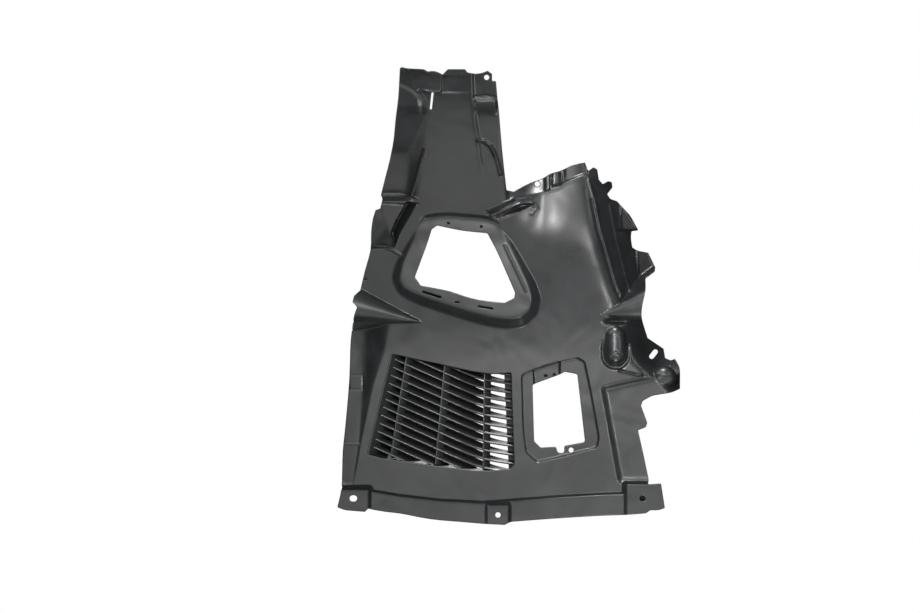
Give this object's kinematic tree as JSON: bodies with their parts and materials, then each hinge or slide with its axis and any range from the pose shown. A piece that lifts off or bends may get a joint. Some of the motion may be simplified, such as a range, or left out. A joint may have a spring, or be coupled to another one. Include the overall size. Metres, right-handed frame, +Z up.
{
  "type": "wheel arch liner",
  "caption": "Moulded front section of a car wheel arch liner with a raised duct frame, a louvred air outlet, a service window and a screw flange.",
  "frame": {"origin": "middle of the lower centre screw hole, on the wheel-side face of its pad", "axes": "+Z up as fitted, +X to the right as seen from the wheel, -Y towards the wheel along the screw"},
  "size_m": [0.446, 0.2498, 0.593],
  "materials": {
    "liner_plastic": "black polypropylene, fine grain with a low sheen"
  },
  "bodies": {
    "root": {"arch_liner": "liner_plastic"}
  },
  "joints": []
}
